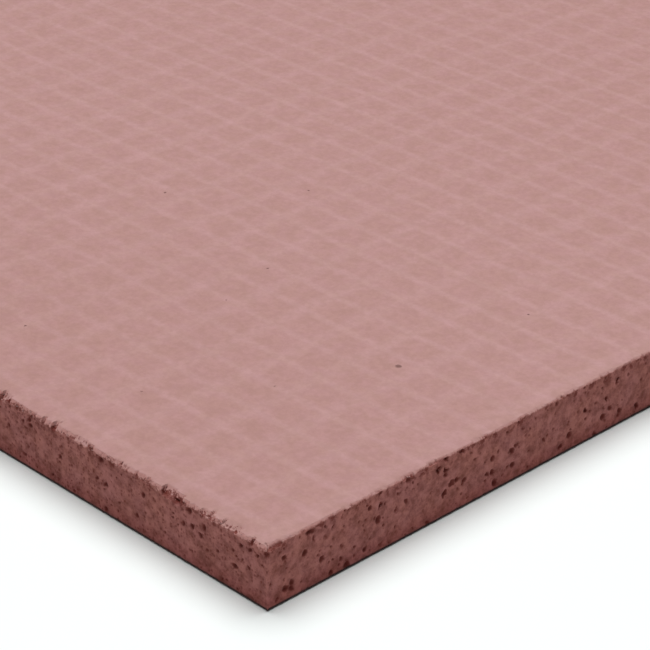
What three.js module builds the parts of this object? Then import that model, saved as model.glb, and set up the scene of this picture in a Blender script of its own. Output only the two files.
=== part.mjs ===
// Magnesium oxide board: one full sheet of pink building board, lying flat.
//
// The sheet is cast in one piece, with its glass fibre mesh buried under both faces, and is sawn to size,
// so it is a single solid: a thin rectangular slab with square edges and a slightly broken arris.
// Millimetres, +Z up. The origin is the middle of the underside, +X runs along the sheet's length.

import * as THREE from "three";

// Driving dimensions
const SHEET_LENGTH = 2400;
const SHEET_WIDTH = 1200;
const SHEET_THICKNESS = 6;
// What the saw and handling take off each edge, measured square to the face and to the edge.
const ARRIS = 0.25;

// The smooth pink face, as photographed.
const BOARD_COLOUR = new THREE.Color().setRGB(0.733, 0.569, 0.553, THREE.SRGBColorSpace);
const BOARD_ROUGHNESS = 0.92;

// The sheet's plan with the arris taken off all round: the bevel of the extrusion gives it back at mid-thickness.
function faceOutline() {
  const halfLength = SHEET_LENGTH / 2 - ARRIS;
  const halfWidth = SHEET_WIDTH / 2 - ARRIS;
  return new THREE.Shape([
    new THREE.Vector2(-halfLength, -halfWidth),
    new THREE.Vector2(halfLength, -halfWidth),
    new THREE.Vector2(halfLength, halfWidth),
    new THREE.Vector2(-halfLength, halfWidth),
  ]);
}

// A slab that stands on z = 0, with one flat chamfer along every edge of both faces.
function boardGeometry() {
  const slab = new THREE.ExtrudeGeometry(faceOutline(), {
    depth: SHEET_THICKNESS - 2 * ARRIS,
    steps: 1,
    bevelEnabled: true,
    bevelThickness: ARRIS,
    bevelSize: ARRIS,
    bevelSegments: 1,
  });
  return slab.translate(0, 0, ARRIS);
}

function boardMaterial() {
  return new THREE.MeshStandardMaterial({
    name: "magnesium_oxide",
    color: BOARD_COLOUR,
    roughness: BOARD_ROUGHNESS,
    metalness: 0,
  });
}

function makeBoard() {
  const board = new THREE.Mesh(boardGeometry(), boardMaterial());
  board.name = "board";
  return board;
}

const sheet = new THREE.Group();
sheet.name = "magnesium_oxide_board";
sheet.add(makeBoard());

export default sheet;
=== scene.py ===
"""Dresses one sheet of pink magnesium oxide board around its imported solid, and sets up its stage."""

import math

import bpy
import numpy as np
from mathutils import Matrix, Vector


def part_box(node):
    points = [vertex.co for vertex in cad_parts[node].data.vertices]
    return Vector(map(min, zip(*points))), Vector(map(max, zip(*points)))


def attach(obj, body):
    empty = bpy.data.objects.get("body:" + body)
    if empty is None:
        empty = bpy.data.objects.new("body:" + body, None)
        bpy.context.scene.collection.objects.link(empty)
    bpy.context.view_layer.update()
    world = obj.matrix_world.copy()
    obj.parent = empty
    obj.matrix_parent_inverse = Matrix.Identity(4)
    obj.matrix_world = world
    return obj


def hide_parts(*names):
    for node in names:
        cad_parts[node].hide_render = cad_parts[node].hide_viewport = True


bl_info = {
    "name": "Magnesium Oxide Board",
    "version": (1, 0, 0),
    "blender": (4, 5, 0),
    "location": "View3D > Sidebar > Board",
    "description": "Makes a cast magnesium oxide board with a mesh-printed face and porous sawn edges",
    "category": "Add Mesh",
}

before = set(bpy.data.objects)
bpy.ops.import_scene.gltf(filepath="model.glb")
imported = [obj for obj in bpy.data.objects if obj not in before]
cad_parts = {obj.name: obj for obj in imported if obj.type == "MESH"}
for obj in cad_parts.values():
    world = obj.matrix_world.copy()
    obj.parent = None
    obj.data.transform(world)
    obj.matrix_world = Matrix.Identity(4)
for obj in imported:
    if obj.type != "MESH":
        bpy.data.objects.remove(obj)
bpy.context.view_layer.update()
SHEET_LOW, SHEET_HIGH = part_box("board")
MM = 0.001


# Settings


class SheetSettings(bpy.types.PropertyGroup):
    """The sheet's sizes and how fine its edge mesh is"""

    length: bpy.props.FloatProperty(
        name="Length",
        description="Length of the sheet along X",
        default=SHEET_HIGH.x - SHEET_LOW.x,
        unit="LENGTH",
    )
    width: bpy.props.FloatProperty(
        name="Width",
        description="Width of the sheet along Y",
        default=SHEET_HIGH.y - SHEET_LOW.y,
        unit="LENGTH",
    )
    thickness: bpy.props.FloatProperty(
        name="Thickness",
        description="Thickness of the sheet",
        default=SHEET_HIGH.z - SHEET_LOW.z,
        unit="LENGTH",
    )
    fine_long: bpy.props.FloatProperty(
        name="Fine part of the long edge",
        description="How far from the near corner the long edge carries its pores and chips as geometry",
        default=36 * MM,
        unit="LENGTH",
    )
    fine_short: bpy.props.FloatProperty(
        name="Fine part of the short edge",
        description="How far from the near corner the short edge carries its pores and chips as geometry",
        default=47 * MM,
        unit="LENGTH",
    )
    fine_step: bpy.props.FloatProperty(
        name="Fine step",
        description="Spacing of the edge mesh there",
        default=0.1 * MM,
        precision=5,
        unit="LENGTH",
    )


class EdgeSettings(bpy.types.PropertyGroup):
    """Pores, chips, crumbs and colours of the sawn edges"""

    pore_spacing: bpy.props.FloatProperty(
        name="Pore spacing",
        description="Mean distance between pores",
        default=1.0 * MM,
        precision=5,
        unit="LENGTH",
    )
    pore_radius: bpy.props.FloatProperty(
        name="Pore radius",
        description="Radius of the largest pores",
        default=0.44 * MM,
        precision=5,
        unit="LENGTH",
    )
    pore_depth: bpy.props.FloatProperty(
        name="Pore depth",
        description="Depth of the largest pores",
        default=0.26 * MM,
        precision=5,
        unit="LENGTH",
    )
    long_chips: bpy.props.FloatProperty(
        name="Chips, long edges",
        description="Largest chip out of the top arris of a long edge",
        default=1.0 * MM,
        precision=5,
        unit="LENGTH",
    )
    short_chips: bpy.props.FloatProperty(
        name="Chips, short edges",
        description="Largest chip out of the top arris of a short edge",
        default=0.44 * MM,
        precision=5,
        unit="LENGTH",
    )
    crumb_density: bpy.props.FloatProperty(
        name="Crumb density",
        description="Crumbs per square metre of broken arris, where they lie closest",
        default=9e6,
    )
    skin: bpy.props.FloatProperty(
        name="Skin",
        description="Depth of the pale cast skin",
        default=0.14 * MM,
        precision=5,
        unit="LENGTH",
    )
    core_colour: bpy.props.FloatVectorProperty(
        name="Core colour",
        description="Red-brown core at the sawn edges",
        default=(0.322, 0.122, 0.106),
        subtype="COLOR",
    )
    pore_colour: bpy.props.FloatVectorProperty(
        name="Pore colour",
        description="Dark inside of the pores",
        default=(0.13, 0.023, 0.017),
        subtype="COLOR",
    )


class FaceSettings(bpy.types.PropertyGroup):
    """Colour of the cast faces and the mesh that shows through them"""

    weft_pitch: bpy.props.FloatProperty(
        name="Weft pitch",
        description="Spacing of the wide strands that run across the sheet",
        default=5.158 * MM,
        unit="LENGTH",
    )
    warp_pitch: bpy.props.FloatProperty(
        name="Warp pitch",
        description="Spacing of the thin strands that run along the sheet",
        default=3.906 * MM,
        unit="LENGTH",
    )
    weft_start: bpy.props.FloatProperty(
        name="First weft",
        description="From the near short edge to the first wide strand",
        default=1.406 * MM,
        unit="LENGTH",
    )
    warp_start: bpy.props.FloatProperty(
        name="First warp",
        description="From the near long edge to the first thin strand",
        default=2.475 * MM,
        unit="LENGTH",
    )
    weft_width: bpy.props.FloatProperty(
        name="Weft width",
        description="Width of a wide strand",
        default=1.7 * MM,
        unit="LENGTH",
    )
    warp_width: bpy.props.FloatProperty(
        name="Warp width",
        description="Width of a thin strand",
        default=0.9 * MM,
        unit="LENGTH",
    )
    skin_colour: bpy.props.FloatVectorProperty(
        name="Skin colour",
        description="Pale pink of the cast faces",
        default=(0.4355, 0.2457, 0.2299),
        subtype="COLOR",
    )


class StageSettings(bpy.types.PropertyGroup):
    """The floor and the light"""

    floor_size: bpy.props.FloatProperty(
        name="Floor size",
        description="Side of the floor",
        default=120,
        unit="LENGTH",
    )
    floor_gap: bpy.props.FloatProperty(
        name="Floor gap",
        description="How far the floor lies under the sheet",
        default=0.06 * MM,
        precision=5,
        unit="LENGTH",
    )
    floor_colour: bpy.props.FloatVectorProperty(
        name="Floor colour",
        description="Pale colour of the floor",
        default=(0.86, 0.9, 0.89),
        subtype="COLOR",
    )
    key_strength: bpy.props.FloatProperty(
        name="Key",
        description="Strength of the overhead light",
        default=3.42,
    )
    key_elevation: bpy.props.FloatProperty(
        name="Key elevation",
        description="Height of the overhead light",
        default=math.radians(79),
        subtype="ANGLE",
    )
    key_softness: bpy.props.FloatProperty(
        name="Key softness",
        description="Apparent size of the overhead light",
        default=math.radians(64),
        subtype="ANGLE",
    )
    sky_strength: bpy.props.FloatProperty(
        name="Sky",
        description="Strength of the white surroundings",
        default=0.08,
    )


# Node maths

# Sockets of a Mix node that mixes colours
MIX_FACTOR, MIX_A, MIX_B, MIX_RESULT = 0, 6, 7, 2


class Term:
    """A node's output socket that can be written in an expression."""

    def __init__(self, web, socket):
        self.web = web
        self.socket = socket

    def _math(self, operation, *others):
        inputs = dict(enumerate((self, *others)))
        return self.web.add("ShaderNodeMath", {"operation": operation}, inputs)

    def __add__(self, other):
        return self._math("ADD", other)

    def __radd__(self, other):
        return self._math("ADD", other)

    def __sub__(self, other):
        return self._math("SUBTRACT", other)

    def __rsub__(self, other):
        return self.web.add("ShaderNodeMath", {"operation": "SUBTRACT"}, {0: other, 1: self})

    def __mul__(self, other):
        return self._math("MULTIPLY", other)

    def __rmul__(self, other):
        return self._math("MULTIPLY", other)

    def __truediv__(self, other):
        return self._math("DIVIDE", other)

    def __rtruediv__(self, other):
        return self.web.add("ShaderNodeMath", {"operation": "DIVIDE"}, {0: other, 1: self})

    def __neg__(self):
        return self._math("MULTIPLY", -1.0)

    def __abs__(self):
        return self._math("ABSOLUTE")

    def __pow__(self, power):
        return self._math("POWER", power)

    def least(self, other):
        return self._math("MINIMUM", other)

    def most(self, other):
        return self._math("MAXIMUM", other)

    def sign(self):
        return self._math("SIGN")

    def wrapped(self):
        """Distance to the nearest whole number."""
        return self._math("PINGPONG", 0.5)

    def step(self, low, high):
        """0 below low, 1 above high, and smooth between."""
        return self.web.add(
            "ShaderNodeMapRange",
            {"interpolation_type": "SMOOTHSTEP", "clamp": True},
            {"Value": self, "From Min": low, "From Max": high, "To Min": 0.0, "To Max": 1.0},
        )


class Web:
    """Adds nodes to one tree, of shaders or of geometry."""

    def __init__(self, tree):
        self.tree = tree

    def add(self, kind, settings=None, inputs=None, output=0):
        node = self.tree.nodes.new(kind)
        for name, value in (settings or {}).items():
            setattr(node, name, value)
        for key, value in (inputs or {}).items():
            socket = node.inputs[key]
            if isinstance(value, Term):
                self.tree.links.new(value.socket, socket)
            else:
                socket.default_value = value
        return Term(self, node.outputs[output])

    def add_output(self, surface):
        out = self.tree.nodes.new("ShaderNodeOutputMaterial")
        self.tree.links.new(surface.socket, out.inputs["Surface"])

    def other(self, term, output):
        """Another output of the node that gave term."""
        return Term(self, term.socket.node.outputs[output])

    def attribute(self, name, output="Fac"):
        """A named attribute of the mesh, in a material."""
        return self.add("ShaderNodeAttribute", {"attribute_name": name}, None, output)

    def store(self, geometry, name, value, kind="FLOAT", domain="POINT"):
        """The geometry with the value kept on it as a named attribute."""
        return self.add(
            "GeometryNodeStoreNamedAttribute",
            {"data_type": kind, "domain": domain},
            {"Geometry": geometry, "Name": name, "Value": value},
        )

    def vector(self, operation, *inputs, output=0):
        keys = {"SCALE": (0, "Scale")}.get(operation, range(len(inputs)))
        return self.add("ShaderNodeVectorMath", {"operation": operation}, dict(zip(keys, inputs)), output)

    def join(self, x, y, z):
        return self.add("ShaderNodeCombineXYZ", None, {0: x, 1: y, 2: z})

    def split(self, vector):
        x = self.add("ShaderNodeSeparateXYZ", None, {0: vector})
        return x, self.other(x, 1), self.other(x, 2)

    def scale(self, colour, factors):
        """The colour with red, green and blue made that many times as strong."""
        return self.vector("MULTIPLY", colour, factors)

    def mix(self, factor, a, b):
        """Mixes two colours."""
        node = self.tree.nodes.new("ShaderNodeMix")
        node.data_type = "RGBA"
        for index, value in ((MIX_FACTOR, factor), (MIX_A, a), (MIX_B, b)):
            if isinstance(value, Term):
                self.tree.links.new(value.socket, node.inputs[index])
            else:
                node.inputs[index].default_value = value if index == MIX_FACTOR else (*value[:3], 1.0)
        return Term(self, node.outputs[MIX_RESULT])

    def vary(self, factor, colour, low, high):
        """The colour scaled by low where factor is 0, and by high where it is 1."""
        return self.mix(factor, self.scale(colour, low), self.scale(colour, high))

    def noise(self, place, size, detail=2.0, rough=0.5, output=0):
        """Blender's noise with features of about that size in metres."""
        return self.add(
            "ShaderNodeTexNoise",
            {"noise_dimensions": "3D"},
            {"Vector": place, "Scale": 1.0 / size, "Detail": detail, "Roughness": rough},
            output,
        )

    def cells(self, place, size):
        """Distance in metres to the nearest random point, and two random numbers of that point."""
        distance = self.add(
            "ShaderNodeTexVoronoi",
            {"voronoi_dimensions": "3D", "feature": "F1"},
            {"Vector": place, "Scale": 1.0 / size, "Randomness": 1.0},
        )
        red, green, _ = self.split(self.other(distance, "Color"))
        return distance * size, red, green


def geometry_tree(name, values):
    """A geometry tree with a float input for each value.

    Returns its Web, its mesh and float inputs as Terms, and the identifier of each float input.
    """
    tree = bpy.data.node_groups.new(name, "GeometryNodeTree")
    tree.interface.new_socket("Geometry", in_out="INPUT", socket_type="NodeSocketGeometry")
    tree.interface.new_socket("Geometry", in_out="OUTPUT", socket_type="NodeSocketGeometry")
    keys = {
        key: tree.interface.new_socket(key, in_out="INPUT", socket_type="NodeSocketFloat").identifier
        for key in values
    }
    web = Web(tree)
    group = tree.nodes.new("NodeGroupInput")
    return web, [Term(web, group.outputs[key]) for key in ("Geometry", *values)], keys


def end_tree(web, geometry, material):
    """Gives the geometry its material and passes it out of the tree."""
    painted = web.add("GeometryNodeSetMaterial", None, {"Geometry": geometry, "Material": material})
    out = web.tree.nodes.new("NodeGroupOutput")
    web.tree.links.new(painted.socket, out.inputs["Geometry"])


def baked(name, mesh, tree, keys, values):
    """What the tree makes of the mesh with those values, as a plain object of that name."""
    source = bpy.data.objects.new("source", mesh)
    bpy.context.scene.collection.objects.link(source)
    modifier = source.modifiers.new(tree.name, "NODES")
    modifier.node_group = tree
    for key, value in values.items():
        modifier[keys[key]] = value
    graph = bpy.context.evaluated_depsgraph_get()
    shaped = source.evaluated_get(graph)
    made = bpy.data.meshes.new_from_object(shaped, preserve_all_data_layers=True, depsgraph=graph)
    bpy.data.objects.remove(source)
    made.name = name
    piece = bpy.data.objects.new(name, made)
    bpy.context.scene.collection.objects.link(piece)
    return piece


def new_material(name):
    material = bpy.data.materials.new(name)
    material.use_nodes = True
    material.node_tree.nodes.clear()
    return material, Web(material.node_tree)


def matt_surface(web, colour, roughness, specular, strength, height):
    """A matt surface with a bump, its height in millimetres."""
    bump = web.add("ShaderNodeBump", None, {"Strength": strength, "Distance": 1.0 * MM, "Height": height})
    return web.add(
        "ShaderNodeBsdfPrincipled",
        None,
        {"Base Color": colour, "Roughness": roughness, "Specular IOR Level": specular, "Normal": bump},
    )


def shade(colour, factors):
    """A plain colour with red, green and blue made that many times as strong."""
    return tuple(channel * factor for channel, factor in zip(colour, factors))


# Fields that shape the edge mesh and colour the same places


def bent(web, place, amount, size):
    """The place pushed about by noise, so that round things come out ragged."""
    push = web.vector("SUBTRACT", web.noise(place, size, 2.0, 0.6, output="Color"), (0.5, 0.5, 0.5))
    return web.vector("ADD", place, web.vector("SCALE", push, amount))


# The largest pores of the two near edges: along the edge from the corner, height, and half sizes, in mm
LONG_EDGE_PORES = (
    (20.69, 5.21, 0.5, 0.3),
    (15.25, 4.17, 0.35, 0.3),
    (9.41, 5.26, 0.4, 0.35),
    (7.62, 4.47, 0.35, 0.42),
    (3.96, 2.49, 0.5, 0.28),
)
SHORT_EDGE_PORES = (
    (1.98, 4.27, 0.36, 0.3),
    (4.85, 5.41, 0.65, 0.28),
    (2.08, 1.25, 0.42, 0.38),
    (20.49, 4.12, 0.3, 0.3),
    (28.81, 1.64, 0.4, 0.33),
    (40.59, 1.64, 0.4, 0.4),
)
PORE_REACH = 0.4 * MM
PORE_RAGGED = 0.7 * MM
# The small pores between them
SMALL_PORE_SPACING = 0.6 * MM
SMALL_PORE_RAGGED = 0.4 * MM
SMALL_PORE_LEAST = 0.06 * MM
SMALL_PORE_RANGE = 0.17 * MM
SMALL_PORE_FADE = 0.36 * MM


def placed_pores(sheet):
    """Centre and half sizes of each listed pore, in metres."""
    corner_x, corner_y = sheet.length / 2, -sheet.width / 2
    for along, height, wide, tall in LONG_EDGE_PORES:
        yield (corner_x - along * MM, corner_y, height * MM), (wide * MM, PORE_REACH, tall * MM)
    for along, height, wide, tall in SHORT_EDGE_PORES:
        yield (corner_x, corner_y + along * MM, height * MM), (PORE_REACH, wide * MM, tall * MM)


def pores(web, place, sheet, edge):
    """From 0 on the sawn surface to 1 at the bottom of a large pore."""
    growth = 0.8 * edge.pore_radius
    distance, luck, _ = web.cells(bent(web, place, PORE_RAGGED, PORE_RAGGED), edge.pore_spacing)
    radius = (luck**2.0) * growth + 0.2 * edge.pore_radius
    found = ((radius - distance) / growth).most(0.0).least(1.0)
    ragged = bent(web, place, SMALL_PORE_RAGGED, SMALL_PORE_RAGGED)
    distance, luck, _ = web.cells(ragged, SMALL_PORE_SPACING)
    radius = luck * SMALL_PORE_RANGE + SMALL_PORE_LEAST
    found = found.most(((radius - distance) / SMALL_PORE_FADE).least(1.0))
    for centre, half_sizes in placed_pores(sheet):
        offset = web.vector("SUBTRACT", ragged, centre)
        scaled = web.vector("MULTIPLY", offset, tuple(1 / size for size in half_sizes))
        found = found.most((1.1 - web.vector("LENGTH", scaled, output=1)) * 0.9)
    return found.least(1.0)


# The board's mesh

STATION_GROWTH = 1.07
LONGEST_STATION = 60 * MM
# How many equal parts the plain far edges are cut into
PLAIN_PARTS_X = 48
PLAIN_PARTS_Y = 24
# Insets in mm of the rings on the show face, going outwards, and on the underside, going inwards
TOP_INSETS = (2.4, 1.9, 1.55, 1.3, 1.12, 0.98, 0.86, 0.75, 0.65, 0.55, 0.45, 0.36, 0.27, 0.18, 0.09)
UNDER_INSETS = (0.1, 0.3, 0.7, 1.5)
# The rings of the edge lie closer together down to this depth, where the chips are
CLOSE_DEPTH = 1.3 * MM


def stations(length, fine_length, fine_step):
    """Distances along an edge from its near corner: even at first, then ever longer."""
    places = list(np.arange(0.0, fine_length, fine_step))
    step = fine_step
    while places[-1] + step * STATION_GROWTH < length:
        step = min(step * STATION_GROWTH, LONGEST_STATION)
        places.append(places[-1] + step)
    return np.array(places[:-1])


def profile(thickness, fine_step):
    """Inset and height of each ring of the edge mesh, from the top face over the edge to the underside."""
    upper = np.arange(0, CLOSE_DEPTH, 0.8 * fine_step)
    lower_rings = round((thickness - CLOSE_DEPTH) / (1.15 * fine_step))
    lower = np.linspace(CLOSE_DEPTH, thickness, lower_rings)
    return (
        [(inset * MM, thickness) for inset in TOP_INSETS]
        + [(0.0, thickness - depth) for depth in (*upper, *lower)]
        + [(inset * MM, 0.0) for inset in UNDER_INSETS]
    )


def corner_shift(places, length, inset, zone=12 * MM):
    """Moves the stations near both corners in, so that an inset ring keeps its corners mitred."""
    near = np.clip(1 - places / zone, 0, 1) * inset
    far = np.clip(1 - (length - places) / zone, 0, 1) * inset
    return places + near - far


def edge_graded_slab(sheet):
    """A plain slab whose edge mesh is fine near the corner at +X and -Y, and ever coarser away from it."""
    half_x, half_y = sheet.length / 2, sheet.width / 2
    along = stations(sheet.length, sheet.fine_long, sheet.fine_step)
    along = np.append(along[1:], sheet.length)
    across = stations(sheet.width, sheet.fine_short, sheet.fine_step)
    plain_x = np.linspace(0, sheet.length, PLAIN_PARTS_X, endpoint=False)
    plain_y = np.linspace(0, sheet.width, PLAIN_PARTS_Y, endpoint=False)
    rings = []
    for inset, height in profile(sheet.thickness, sheet.fine_step):
        x, y = half_x - inset, half_y - inset
        right = corner_shift(across, sheet.width, inset) - half_y
        back = half_x - corner_shift(plain_x, sheet.length, inset)
        left = half_y - corner_shift(plain_y, sheet.width, inset)
        front = half_x - corner_shift(along, sheet.length, inset)[::-1]
        ring = [(x, v, height) for v in right] + [(v, y, height) for v in back]
        ring += [(-x, v, height) for v in left] + [(v, -y, height) for v in front]
        rings.append(ring)
    count = len(rings[0])
    faces = [list(range(count))]
    for row in range(len(rings) - 1):
        low, high = row * count, (row + 1) * count
        for i in range(count):
            j = (i + 1) % count
            faces.append([high + i, high + j, low + j, low + i])
    faces.append([(len(rings) - 1) * count + i for i in reversed(range(count))])
    mesh = bpy.data.meshes.new("board")
    mesh.from_pydata([corner for ring in rings for corner in ring], [], faces)
    mesh.update()
    return mesh


# How the sawn edges break

# Over this length one side of the sheet hands over to the next at their corner
CORNER_BLEND = 0.4 * MM
# How far in from a side its pores and roughness move the mesh, and how deep the roughness is
RELIEF_REACH = 0.8 * MM
ROUGH_SIZE, ROUGH_DEPTH = 0.5 * MM, 0.14 * MM
# The top arris breaks off in wide and tight bites, with crumbs between, and everywhere at least this much
WIDE_BITE, WIDE_BEND = 1.5 * MM, (1.2 * MM, 1.0 * MM)
TIGHT_BITE, TIGHT_BEND = 0.5 * MM, (0.5 * MM, 0.5 * MM)
CRUMB_SIZE, LEAST_CRUMB = 0.4 * MM, 0.1 * MM
LEAST_IN, LEAST_DOWN = 0.01 * MM, 0.03 * MM
GNAW_SIZE, GNAW_DEPTH = 0.4 * MM, 0.2 * MM
# Size of the broken arris at the underside
UNDER_ARRIS = 0.07 * MM


def arris_cut(web, on_arris, inset, depth, chips):
    """How deep the arris is broken, at a point that far in from the side and that far below the top."""
    _, wide_in, wide_down = web.cells(bent(web, on_arris, *WIDE_BEND), WIDE_BITE)
    _, tight_in, tight_down = web.cells(bent(web, on_arris, *TIGHT_BEND), TIGHT_BITE)
    crumb = web.noise(on_arris, CRUMB_SIZE, 3.0, 0.65)
    crumbled_in = (crumb - 0.36).most(0.0) * (chips * 0.7 + LEAST_CRUMB)
    crumbled_down = (crumb - 0.27).most(0.0) * (chips * 0.6 + LEAST_CRUMB)
    bite_in = ((wide_in**2.4) * 0.95 + (tight_in**2.4) * 0.18) * chips
    bite_down = ((wide_down**2.2) * 0.85 + (tight_down**2.2) * 0.15) * chips
    reach_in = bite_in + crumbled_in + LEAST_IN
    reach_down = bite_down + crumbled_down + LEAST_DOWN
    return (1 - inset / reach_in - depth / reach_down).most(0.0) / (1 / reach_in + 1 / reach_down)


def sawn_edge_tree(sheet, edge, material):
    """Pushes the edge mesh in where there are pores and breaks the arris, as far out as the mesh is fine."""
    values = {
        "Half length": sheet.length / 2,
        "Half width": sheet.width / 2,
        "Thickness": sheet.thickness,
        "Fine long": sheet.fine_long,
        "Fine short": sheet.fine_short,
        "Pore depth": edge.pore_depth,
        "Long chips": edge.long_chips,
        "Short chips": edge.short_chips,
    }
    web, inputs, keys = geometry_tree("sawn_edges", values)
    slab, half_x, half_y, thick, fine_long, fine_short, pore_depth, long_chips, short_chips = inputs
    rest = web.add("GeometryNodeInputPosition")
    kept = web.store(slab, "rest", rest, kind="FLOAT_VECTOR")
    x, y, z = web.split(rest)
    gap_x = half_x - abs(x)
    gap_y = half_y - abs(y)
    inset = gap_x.least(gap_y)
    side_x = (gap_y - gap_x).step(-CORNER_BLEND, CORNER_BLEND)
    inward_x = -(x.sign() * side_x)
    inward_y = -(y.sign() * (1 - side_x))
    side_place_x, side_place_y = x - inward_x * inset, y - inward_y * inset
    on_side = web.join(side_place_x, side_place_y, z)
    on_arris = web.join(side_place_x, side_place_y, 0.0)
    fine_x = 1 - ((half_x - x) / fine_long).step(0.96, 1.06)
    fine_y = 1 - ((y + half_y) / fine_short).step(0.96, 1.06)
    fine = fine_x * fine_y
    near_side = (1 - inset / RELIEF_REACH).most(0.0)
    above_floor = z.step(0.15 * MM, 0.6 * MM)
    pore = pores(web, on_side, sheet, edge) * pore_depth * near_side * above_floor
    rough = (1 - web.noise(on_side, ROUGH_SIZE, 3.0, 0.6)) * ROUGH_DEPTH * near_side
    chips = long_chips * (1 - side_x) + short_chips * side_x
    cut = arris_cut(web, on_arris, inset, thick - z, chips)
    gnaw = web.noise(rest, GNAW_SIZE, 2.0, 0.6) * (cut * 0.9).least(GNAW_DEPTH)
    under = (1 - inset / UNDER_ARRIS - z / UNDER_ARRIS).most(0.0) * (UNDER_ARRIS / 2)
    push = (pore + rough + under + cut - gnaw * 0.6) * fine
    drop = (under - cut - gnaw * 0.7) * fine
    # how deep the arris is cut here is kept in millimetres, from before the mesh moves
    marked = web.store(kept, "worn", cut * fine / (1 * MM))
    offset = web.join(inward_x * push, inward_y * push, drop)
    moved = web.add("GeometryNodeSetPosition", None, {"Geometry": marked, "Offset": offset})
    _, _, level = web.split(web.add("GeometryNodeInputNormal"))
    end_tree(web, web.store(moved, "level", abs(level)), material)
    return web.tree, keys, values


# The board's material

# How the strands of the mesh wander: slowly over the sheet, and a little within a cell
SWAY_SIZE, SWAY = 40 * MM, 1.2 * MM
RIPPLE_SIZE, WEFT_RIPPLE, WARP_RIPPLE = 5 * MM, 0.9 * MM, 0.6 * MM
# How pale the wide and the thin strands print, and how much of the weaker one is lost where they cross
WEFT_PRINT, WARP_PRINT, CROSSING_LOSS = 0.42, 0.52, 0.6

# Pinholes of the show face: in from the short edge, in from the long edge, and radius, in mm
PINHOLES = (
    (13.66, 28.51, 0.27),
    (12.28, 43.96, 0.12),
    (54.95, 36.93, 0.13),
    (35.64, 33.07, 0.11),
    (45.35, 47.62, 0.11),
    (42.47, 9.41, 0.11),
)
PINHOLE_SPACING = 7 * MM

# Colour changes of the faces, with the painted shade at the long rims and the painted light on the lip: how
# many times as strong red, green and blue become
CELL_TONE, STRAND_TONE = (0.966, 0.952, 0.938), (1.08, 1.118, 1.145)
SPECKLE_TONES = (0.945, 0.94, 0.935), (1.05, 1.055, 1.06)
TINT_TONES = (0.975, 0.977, 0.948), (1.02, 1.01, 1.042)
CLOUD_TONES = (0.975, 0.968, 0.96), (1.02, 1.03, 1.035)
RIM_SHADE_TONE = (0.972, 0.962, 0.958)
LIP_LIGHT_TONE = (1.28, 1.07, 1.03)
# The painted shade inside a pinhole, the size of the broad clouds of tone and the width of the painted shade
# at the long rims
PINHOLE_SHADE_COLOUR = (0.13, 0.06, 0.05)
CLOUD_SIZE, RIM_SHADE_WIDTH = 450 * MM, 45 * MM

# Colour changes of the sawn edges, painted shade among them, and the near-black of the painted contact
# shadow
DARK_GRAIN, PALE_GRAIN = (0.6, 0.5, 0.47), (1.34, 1.36, 1.37)
PATCH_TONES = (1.0, 0.985, 0.945), (1.0, 1.01, 1.06)
BREAK_SHADE_TONE = (0.6, 0.53, 0.52)
LOW_SHADE_TONE = (0.88, 0.74, 0.74)
PORE_FLOOR_SHADE_TONE = (0.75, 0.75, 0.75)
CONTACT_SHADOW_COLOUR = (0.03, 0.028, 0.026)


def strand(across, pitch, width, wander):
    """1 on the strands that repeat every pitch and 0 between them, and the distance to the nearest."""
    distance = ((across + wander) / pitch).wrapped() * pitch
    return 1 - distance.step(0.12 * width, 0.78 * width), distance


def mesh_print(web, x, y, sheet, face):
    """How pale the skin is over the buried glass fibre mesh: least in the middle of a cell."""
    flat = web.join(x, y, 0.0)
    sway_x, sway_y, fade = web.split(web.noise(flat, SWAY_SIZE, 1.5, 0.5, output="Color"))
    ripple_x, ripple_y, patch = web.split(web.noise(flat, RIPPLE_SIZE, 2.0, 0.6, output="Color"))
    wander_x = (sway_x - 0.5) * SWAY + (ripple_x - 0.5) * WEFT_RIPPLE
    wander_y = (sway_y - 0.5) * SWAY + (ripple_y - 0.5) * WARP_RIPPLE
    from_short = sheet.length / 2 - face.weft_start - x
    from_long = y + sheet.width / 2 - face.warp_start
    weft, from_weft = strand(from_short, face.weft_pitch, face.weft_width, wander_x)
    warp, from_warp = strand(from_long, face.warp_pitch, face.warp_width, wander_y)
    weft_fade = (patch * 0.6 + fade * 0.4).step(0.3, 0.6) * 0.45 + 0.5
    warp_fade = (ripple_x * 0.6 + sway_y * 0.4).step(0.3, 0.6) * 0.4 + 0.58
    middle = (from_weft / face.weft_pitch).least(from_warp / face.warp_pitch).step(0.12, 0.48)
    cell_luck = (patch * 0.5 + ripple_y * 0.5).step(0.38, 0.62)
    weft = weft * weft_fade * WEFT_PRINT
    warp = warp * warp_fade * WARP_PRINT
    return 0.15 - middle * cell_luck * 0.12 + weft + warp - weft.least(warp) * CROSSING_LOSS


def pinholes(web, place, sheet):
    """1 in the pinholes of the faces and 0 around them."""
    ragged = bent(web, place, 0.25 * MM, 0.3 * MM)
    found = 0.0
    for short, long, radius in PINHOLES:
        centre = (sheet.length / 2 - short * MM, long * MM - sheet.width / 2, sheet.thickness)
        distance = web.vector("DISTANCE", ragged, centre, output=1)
        found = (1 - distance.step(0.5 * radius * MM, 1.3 * radius * MM)).most(found)
    distance, luck, size = web.cells(ragged, PINHOLE_SPACING)
    few = (luck - 0.55).sign().most(0.0)
    return found.most((1 - distance.step(0.05 * MM, 0.17 * MM)) * few * size)


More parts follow.
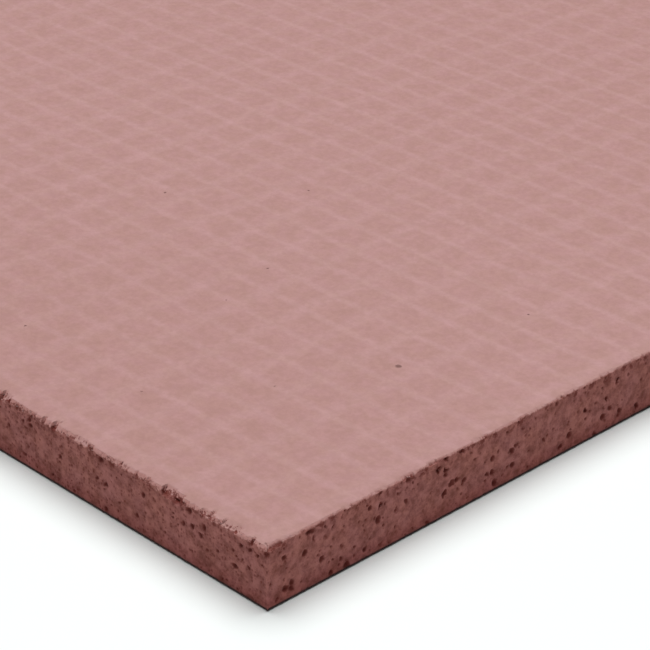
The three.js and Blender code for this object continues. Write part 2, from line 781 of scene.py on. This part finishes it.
def face_surface(web, place, sheet, face):
    """The cast faces: pale bands over the mesh, browner mottled cells between them, and a few pinholes."""
    skin = tuple(face.skin_colour)
    x, y, _ = web.split(place)
    printed = mesh_print(web, x, y, sheet, face)
    speckle = web.noise(place, 0.7 * MM, 3.0, 0.7)
    tint = web.noise(place, 1.6 * MM, 3.0, 0.65)
    holes = pinholes(web, place, sheet)
    cloud = web.noise(web.join(x, y, 0.0), CLOUD_SIZE, 3.0, 0.6)
    colour = web.mix(printed, shade(skin, CELL_TONE), shade(skin, STRAND_TONE))
    colour = web.vary(speckle.step(0.3, 0.72), colour, *SPECKLE_TONES)
    colour = web.vary(tint.step(0.3, 0.7), colour, *TINT_TONES)
    colour = web.vary(cloud.step(0.3, 0.7), colour, *CLOUD_TONES)
    # painted shade: the face is coloured a little darker towards the long rims of the sheet
    beyond_rim_shade = (sheet.width / 2 - abs(y)).step(0.0, RIM_SHADE_WIDTH)
    colour = web.mix(beyond_rim_shade, web.scale(colour, RIM_SHADE_TONE), colour)
    # painted light: where the torn lip of the skin turns down steeply over the edge, it is coloured lighter
    # and redder, against the shade it gets there
    level = web.attribute("level")
    colour = web.mix(level.step(0.35, 0.97), shade(skin, LIP_LIGHT_TONE), colour)
    # painted shade: the pinholes are coloured dark inside
    colour = web.mix(holes * 0.75, colour, PINHOLE_SHADE_COLOUR)
    return matt_surface(web, colour, 0.93, 0.2, 0.5, speckle * 0.05 - holes * 0.3)


def edge_surface(web, rest, sheet, edge):
    """The sawn edges: red-brown crumbly core with dark pores, and painted shade that makes them redder and
    darker towards the underside.
    """
    core, dark = tuple(edge.core_colour), tuple(edge.pore_colour)
    x, y, z = web.split(rest)
    worn = web.attribute("worn")
    level = web.attribute("level")
    grain = web.noise(rest, 0.9 * MM, 4.0, 0.7)
    patch = web.noise(rest, 3.0 * MM, 3.0, 0.6)
    pore = pores(web, rest, sheet, edge)
    speck, luck, _ = web.cells(bent(web, rest, 0.2 * MM, 0.2 * MM), 0.33 * MM)
    colour = web.mix(grain.step(0.22, 0.75), shade(core, DARK_GRAIN), shade(core, PALE_GRAIN))
    in_speck = (1 - speck.step(0.04 * MM, 0.19 * MM)) * luck.step(0.45, 0.8)
    colour = web.mix(in_speck * 0.65, colour, dark)
    colour = web.vary(patch.step(0.3, 0.7), colour, *PATCH_TONES)
    # painted shade: the broken arris is coloured darker where it faces up, to hold back the light from above
    broken = worn.step(0.01, 0.1) * level.step(0.15, 0.85)
    colour = web.mix(broken, colour, web.scale(colour, BREAK_SHADE_TONE))
    # the pores are coloured dark inside, partly their own darker colour and partly painted shade, darkest at
    # the bottom
    colour = web.mix(pore.step(0.0, 0.5) * 0.85, colour, dark)
    colour = web.mix(pore.step(0.45, 0.95) * 0.7, colour, shade(dark, PORE_FLOOR_SHADE_TONE))
    # painted shade: redder and darker towards the underside, for the shadow near the floor and the red light
    # bounced there
    low = 1 - z.step(0.3 * MM, 2.2 * MM)
    colour = web.mix(low, colour, web.scale(colour, LOW_SHADE_TONE))
    # painted shade: where the arris is cut deepest, the chips are coloured dark
    hollow_shade = worn.step(0.08, 0.35) * (1 - grain.step(0.43, 0.62))
    colour = web.mix(hollow_shade * 0.78, colour, dark)
    # painted shade and dark pores: dark spots just under the skin line, for the shadows under its small
    # overhangs and the pores there
    near_top = (z - sheet.thickness).step(-1.4 * MM, -0.4 * MM)
    shade_notch = near_top * web.noise(rest, 0.7 * MM, 3.0, 0.6).step(0.5, 0.63)
    colour = web.mix(shade_notch * 0.8, colour, dark)
    # painted contact shadow: the lowest rim is coloured nearly black, to deepen the shadow under the sheet
    contact = 1 - z.step(0.16 * MM, 0.32 * MM)
    colour = web.mix(contact * 0.95, colour, CONTACT_SHADOW_COLOUR)
    # pores are bump only where the mesh is too coarse to carry them
    coarse_long = (sheet.length / 2 - x).step(sheet.fine_long, 1.05 * sheet.fine_long)
    coarse_short = (y + sheet.width / 2).step(sheet.fine_short, 1.05 * sheet.fine_short)
    bumped = pore * coarse_long.most(coarse_short)
    return matt_surface(web, colour, 0.95, 0.15, 0.6, grain * 0.08 - bumped * 0.2)


def board_material(sheet, edge, face):
    material, web = new_material("magnesium_oxide")
    place = web.other(web.add("ShaderNodeTexCoord"), "Object")
    rest = web.attribute("rest", "Vector")
    x, y, z = web.split(place)
    # the pale skin ends a little way below the show face, and right at the underside
    gap_x, gap_y = sheet.length / 2 - abs(x), sheet.width / 2 - abs(y)
    along_long = (gap_x - gap_y).step(-CORNER_BLEND, CORNER_BLEND)
    tear = (along_long * 11.0 + 4.0) * edge.skin
    ragged = (web.noise(place, 0.5 * MM, 4.0, 0.75) - 0.4).most(0.0) * tear
    below_skin = (sheet.thickness - z - ragged).step(0.0, 1.6 * edge.skin)
    core = below_skin * z.step(0.0, 0.02 * MM)
    surfaces = face_surface(web, place, sheet, face), edge_surface(web, rest, sheet, edge)
    web.add_output(web.add("ShaderNodeMixShader", None, dict(enumerate((core, *surfaces)))))
    return material


class BOARD_OT_make_board(bpy.types.Operator):
    """Make the cast board with its porous sawn edges"""

    bl_idname = "mgo.make_board"
    bl_label = "Make Board"

    def execute(self, context):
        sheet, edge, face = context.scene.mgo_sheet, context.scene.mgo_edge, context.scene.mgo_face
        material = board_material(sheet, edge, face)
        slab = edge_graded_slab(sheet)
        board = baked("cast_board", slab, *sawn_edge_tree(sheet, edge, material))
        board.data.shade_smooth()
        board.data.set_sharp_from_angle(angle=math.radians(38))
        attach(board, "root")
        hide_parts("board")
        return {"FINISHED"}


# Crumbs along the near arris

# Each crumb is a ball squashed along its three axes by shares between these, and turned by these angles
FLAKE_RADIUS = 0.5 * MM
LEAST_SHARES, MOST_SHARES = (0.08, 0.07, 0.04), (0.24, 0.17, 0.09)
LEAST_TURN, MOST_TURN = (-0.7, -0.7, -3.1), (0.7, 0.7, 3.1)
PLACE_SEED, SIZE_SEED, TURN_SEED, TONE_SEED = 7, 3, 5, 11
# Crumbs lie this far in from the side and down from the top, and thin out over the last of the fine part
CRUMBS_IN, CRUMBS_DOWN, CRUMBS_END = 1.3 * MM, 1.0 * MM, 1.0 * MM
CRUSH = 0.12 * MM
# How far inside the sheet's near sides the crumbs stay
CRUMB_MARGIN = 0.02 * MM


def crumb_tree(sheet, edge, material):
    """Strews torn flakes over the broken arris of the board it is given, and drops the board."""
    values = {
        "Half length": sheet.length / 2,
        "Half width": sheet.width / 2,
        "Thickness": sheet.thickness,
        "Density": edge.crumb_density,
    }
    web, inputs, keys = geometry_tree("arris_crumbs", values)
    board, half_x, half_y, thick, density = inputs
    x, y, z = web.split(web.add("GeometryNodeInputPosition"))
    gap_x, gap_y = half_x - x, y + half_y
    near_long = (gap_x - gap_y).sign().most(0.0)
    near_side = 1 - (gap_x.least(gap_y) / CRUMBS_IN).step(0.4, 1.0)
    near_top = 1 - ((thick - z) / CRUMBS_DOWN).step(0.3, 1.0)
    reach_long = 1 - gap_x.step(sheet.fine_long - CRUMBS_END, sheet.fine_long)
    reach_short = 1 - gap_y.step(sheet.fine_short - CRUMBS_END, sheet.fine_short)
    reach = reach_long * near_long + reach_short * (1 - near_long)
    clump = web.noise(web.join(x, y, 0.0), 2.0 * MM, 2.0, 0.6).step(0.42, 0.6)
    worn = web.add("GeometryNodeInputNamedAttribute", {"data_type": "FLOAT"}, {"Name": "worn"})
    share = (clump * 0.8 + 0.2) * (near_long * 0.85 + 0.15)
    where = near_side * near_top * reach * share * worn.step(0.0, 0.06)
    points = web.add(
        "GeometryNodeDistributePointsOnFaces",
        {"distribute_method": "RANDOM"},
        {"Mesh": board, "Density": density * where, "Seed": PLACE_SEED},
    )
    flake = web.add("GeometryNodeMeshIcoSphere", None, {"Radius": FLAKE_RADIUS, "Subdivisions": 2})
    size = web.add(
        "FunctionNodeRandomValue",
        {"data_type": "FLOAT_VECTOR"},
        {"Min": LEAST_SHARES, "Max": MOST_SHARES, "Seed": SIZE_SEED},
    )
    turn = web.add(
        "FunctionNodeRandomValue",
        {"data_type": "FLOAT_VECTOR"},
        {"Min": LEAST_TURN, "Max": MOST_TURN, "Seed": TURN_SEED},
    )
    flakes = web.add(
        "GeometryNodeInstanceOnPoints",
        None,
        {"Points": points, "Instance": flake, "Rotation": turn, "Scale": size},
    )
    # the least and most of a random number are its sockets 2 and 3, and the number is output 1
    tone_range = {2: 0.0, 3: 1.0, "Seed": TONE_SEED}
    tone = web.add("FunctionNodeRandomValue", {"data_type": "FLOAT"}, tone_range, 1)
    toned = web.store(flakes, "tone", tone, domain="INSTANCE")
    real = web.add("GeometryNodeRealizeInstances", None, {"Geometry": toned})
    crushed = bent(web, web.add("GeometryNodeInputPosition"), CRUSH, CRUSH)
    low = web.join(-half_x, CRUMB_MARGIN - half_y, 0.0)
    high = web.join(half_x - CRUMB_MARGIN, half_y, thick)
    inside = web.vector("MINIMUM", web.vector("MAXIMUM", crushed, low), high)
    moved = web.add("GeometryNodeSetPosition", None, {"Geometry": real, "Position": inside})
    end_tree(web, moved, material)
    return web.tree, keys, values


def crumb_material(edge, face):
    material, web = new_material("board_crumbs")
    place = web.other(web.add("ShaderNodeTexCoord"), "Object")
    tone = web.attribute("tone")
    grain = web.noise(place, 0.2 * MM, 3.0, 0.6)
    dark = shade(edge.core_colour, (0.7, 0.7, 0.7))
    pale = shade(face.skin_colour, (0.97, 0.97, 0.97))
    colour = web.mix((tone * 0.8 + grain * 0.4).step(0.2, 0.8), dark, pale)
    web.add_output(matt_surface(web, colour, 0.95, 0.15, 0.5, grain * 0.05))
    return material


class BOARD_OT_make_crumbs(bpy.types.Operator):
    """Make the crumbs and torn flakes along the near arris of the board"""

    bl_idname = "mgo.make_crumbs"
    bl_label = "Make Crumbs"

    def execute(self, context):
        sheet, edge, face = context.scene.mgo_sheet, context.scene.mgo_edge, context.scene.mgo_face
        board = bpy.data.objects.get("cast_board")
        if board is None:
            raise RuntimeError("make the board before its crumbs")
        tree = crumb_tree(sheet, edge, crumb_material(edge, face))
        crumbs = baked("arris_crumbs", board.data.copy(), *tree)
        crumbs.data.shade_smooth()
        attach(crumbs, "root")
        return {"FINISHED"}


# The stage

# The photograph's camera, worked out from the board's four edge lines in its 650 pixel frame
PHOTO_SIDE = 650.0
PHOTO_FOCAL = 2733.2
PHOTO_PITCH = math.radians(28.292)
PHOTO_AZIMUTH = math.radians(46.167)
PHOTO_CORNER = (266.78, 549.06)
CORNER_DEPTH_PER_THICKNESS = 35.95
SENSOR_WIDTH = 36.0


def place_camera(sheet):
    """Puts the camera where the board's near top corner and edges fall as they do in the photograph."""
    level = Vector((-math.sin(PHOTO_AZIMUTH), math.cos(PHOTO_AZIMUTH), 0))
    right = Vector((math.cos(PHOTO_AZIMUTH), math.sin(PHOTO_AZIMUTH), 0))
    forward = level * math.cos(PHOTO_PITCH) - Vector((0, 0, 1)) * math.sin(PHOTO_PITCH)
    up = level * math.sin(PHOTO_PITCH) + Vector((0, 0, 1)) * math.cos(PHOTO_PITCH)
    offset = [(place - PHOTO_SIDE / 2) / PHOTO_FOCAL for place in PHOTO_CORNER]
    depth = sheet.thickness * CORNER_DEPTH_PER_THICKNESS
    corner = Vector((sheet.length / 2, -sheet.width / 2, sheet.thickness))
    data = bpy.data.cameras.new("camera")
    data.sensor_width = SENSOR_WIDTH
    data.lens = SENSOR_WIDTH * PHOTO_FOCAL / PHOTO_SIDE
    data.clip_start, data.clip_end = 0.005, 100.0
    camera = bpy.data.objects.new("camera", data)
    turn = Matrix((right, up, -forward)).transposed().to_4x4()
    spot = corner - depth * (forward + offset[0] * right - offset[1] * up)
    camera.matrix_world = Matrix.Translation(spot) @ turn
    bpy.context.scene.collection.objects.link(camera)
    bpy.context.scene.camera = camera


def make_floor(stage):
    half = stage.floor_size / 2
    mesh = bpy.data.meshes.new("floor")
    corners = [(-half, -half, 0), (half, -half, 0), (half, half, 0), (-half, half, 0)]
    mesh.from_pydata(corners, [], [(0, 1, 2, 3)])
    material, web = new_material("floor_white")
    web.add_output(web.add("ShaderNodeBsdfDiffuse", None, {"Color": (*stage.floor_colour, 1.0)}))
    mesh.materials.append(material)
    floor = bpy.data.objects.new("floor", mesh)
    floor.location.z = SHEET_LOW.z - stage.floor_gap
    bpy.context.scene.collection.objects.link(floor)


def make_key_light(stage):
    """A broad sun nearly overhead, a little beyond the board as the camera sees it."""
    key = bpy.data.objects.new("key_light", bpy.data.lights.new("key_light", "SUN"))
    key.data.energy = stage.key_strength
    key.data.angle = stage.key_softness
    away = math.cos(stage.key_elevation)
    towards = Vector((
        -math.sin(PHOTO_AZIMUTH) * away,
        math.cos(PHOTO_AZIMUTH) * away,
        math.sin(stage.key_elevation),
    ))
    key.rotation_mode = "QUATERNION"
    key.rotation_quaternion = towards.to_track_quat("Z", "Y")
    bpy.context.scene.collection.objects.link(key)


def make_surroundings(stage):
    world = bpy.data.worlds.new("studio")
    world.use_nodes = True
    background = world.node_tree.nodes["Background"]
    background.inputs["Color"].default_value = (1.0, 1.0, 1.0, 1.0)
    background.inputs["Strength"].default_value = stage.sky_strength
    bpy.context.scene.world = world
    bpy.context.scene.view_settings.view_transform = "Standard"


class BOARD_OT_make_stage(bpy.types.Operator):
    """Make the pale floor, the soft light and the camera"""

    bl_idname = "mgo.make_stage"
    bl_label = "Make Stage"

    def execute(self, context):
        make_floor(context.scene.mgo_stage)
        make_key_light(context.scene.mgo_stage)
        make_surroundings(context.scene.mgo_stage)
        place_camera(context.scene.mgo_sheet)
        return {"FINISHED"}


class BOARD_PT_panel(bpy.types.Panel):
    """Lists the board's operators"""

    bl_label = "Magnesium Oxide Board"
    bl_idname = "BOARD_PT_panel"
    bl_space_type = "VIEW_3D"
    bl_region_type = "UI"
    bl_category = "Board"

    def draw(self, context):
        for operator in OPERATORS:
            self.layout.operator(operator.bl_idname)


GROUPS = {
    "mgo_sheet": SheetSettings,
    "mgo_edge": EdgeSettings,
    "mgo_face": FaceSettings,
    "mgo_stage": StageSettings,
}
OPERATORS = (BOARD_OT_make_stage, BOARD_OT_make_board, BOARD_OT_make_crumbs)


def register():
    for name, group in GROUPS.items():
        bpy.utils.register_class(group)
        setattr(bpy.types.Scene, name, bpy.props.PointerProperty(type=group))
    for cls in (*OPERATORS, BOARD_PT_panel):
        bpy.utils.register_class(cls)


def unregister():
    for cls in (BOARD_PT_panel, *reversed(OPERATORS)):
        bpy.utils.unregister_class(cls)
    for name, group in GROUPS.items():
        delattr(bpy.types.Scene, name)
        bpy.utils.unregister_class(group)


def main():
    register()
    bpy.ops.mgo.make_stage()
    bpy.ops.mgo.make_board()
    bpy.ops.mgo.make_crumbs()


if __name__ == "__main__":
    main()
